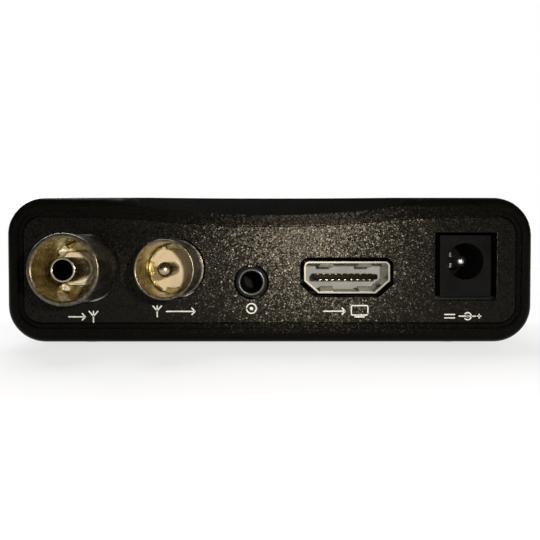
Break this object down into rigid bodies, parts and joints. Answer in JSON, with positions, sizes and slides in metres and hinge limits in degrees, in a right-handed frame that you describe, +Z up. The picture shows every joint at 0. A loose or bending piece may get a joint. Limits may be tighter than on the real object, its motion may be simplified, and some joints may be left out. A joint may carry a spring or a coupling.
{
  "type": "digital tv receiver",
  "caption": "Compact digital television receiver: low black case, aerial, audio-video, picture and power sockets behind, display window, data socket and push keys in front.",
  "frame": {"origin": "the middle of the bounding box, on the plane under the rubber feet", "axes": "+X along the width, to the left of someone who looks at the rear panel; +Y out of the rear panel, the way the aerial sockets point; +Z up"},
  "size_m": [0.092, 0.0724, 0.0262],
  "materials": {
    "case_plastic": "dark moulded plastic, satin",
    "panel_plastic": "spark-eroded, fine sparkle",
    "smoked_window": "polished, see-through",
    "foot_rubber": "matt",
    "screw_steel": "zinc plated",
    "circuit_board": "solder resist over glass fibre",
    "tinned_sheet": "bright tinned",
    "input_barrel": "nickel plated, warm",
    "output_barrel": "nickel plated, warm",
    "cream_insulator": "satin",
    "beige_insulator": "satin",
    "contact_brass": "plated",
    "black_moulding": "satin",
    "grey_moulding": "matt",
    "socket_steel": "nickel plated sheet",
    "gold_contacts": "gold flashed",
    "display_grey": "matt",
    "segment_red": "diffusing",
    "sensor_smoke": "moulded epoxy",
    "lamp_red": "moulded epoxy",
    "key_plastic": "polished",
    "white_plunger": "satin",
    "chip_epoxy": "matt moulded",
    "can_metal": "drawn and plated",
    "capacitor_foil": "satin",
    "capacitor_film": "shrunk film",
    "ferrite": "matt"
  },
  "bodies": {
    "receiver": {"top_cover": "case_plastic", "bottom_cover": "case_plastic", "rear_panel": "panel_plastic", "front_panel": "key_plastic", "display_window": "smoked_window", "feet": "foot_rubber", "case_screws": "screw_steel", "main_board": "circuit_board", "tuner_case": "tinned_sheet", "tuner_lid": "tinned_sheet", "rf_in_shell": "input_barrel", "rf_in_insulator": "cream_insulator", "rf_in_contact": "contact_brass", "rf_out_shell": "output_barrel", "rf_out_insulator": "beige_insulator", "rf_out_pin": "contact_brass", "av_jack_body": "black_moulding", "av_jack_springs": "contact_brass", "hd_socket_shell": "socket_steel", "hd_socket_block": "grey_moulding", "hd_socket_tongue": "black_moulding", "hd_socket_contacts": "gold_contacts", "power_jack_body": "black_moulding", "power_jack_pin": "socket_steel", "power_jack_spring": "contact_brass", "data_socket_shell": "socket_steel", "data_socket_core": "black_moulding", "data_socket_contacts": "gold_contacts", "front_board": "circuit_board", "header_block": "black_moulding", "header_pins": "gold_contacts", "display_module": "display_grey", "display_digits": "segment_red", "ir_receiver": "sensor_smoke", "standby_led": "lamp_red", "key_switches": "black_moulding", "decoder_chip": "chip_epoxy", "flash_chip": "chip_epoxy", "flash_leads": "tinned_sheet", "clock_crystal": "can_metal", "power_inductors": "ferrite", "voltage_regulators": "chip_epoxy", "filter_capacitors": "capacitor_foil", "capacitor_sleeves": "capacitor_film"},
    "power_button": {"power_key": "key_plastic", "power_plunger": "white_plunger"},
    "channel_down_button": {"channel_down_key": "key_plastic", "channel_down_plunger": "white_plunger"},
    "channel_up_button": {"channel_up_key": "key_plastic", "channel_up_plunger": "white_plunger"}
  },
  "joints": [
    {"name": "power_press", "type": "slide", "parent": "receiver", "child": "power_button", "axis": [0, 1, 0], "range_m": [0, 0.0003], "stiffness_N_per_m": 4000},
    {"name": "channel_down_press", "type": "slide", "parent": "receiver", "child": "channel_down_button", "axis": [0, 1, 0], "range_m": [0, 0.0003], "stiffness_N_per_m": 4000},
    {"name": "channel_up_press", "type": "slide", "parent": "receiver", "child": "channel_up_button", "axis": [0, 1, 0], "range_m": [0, 0.0003], "stiffness_N_per_m": 4000}
  ]
}
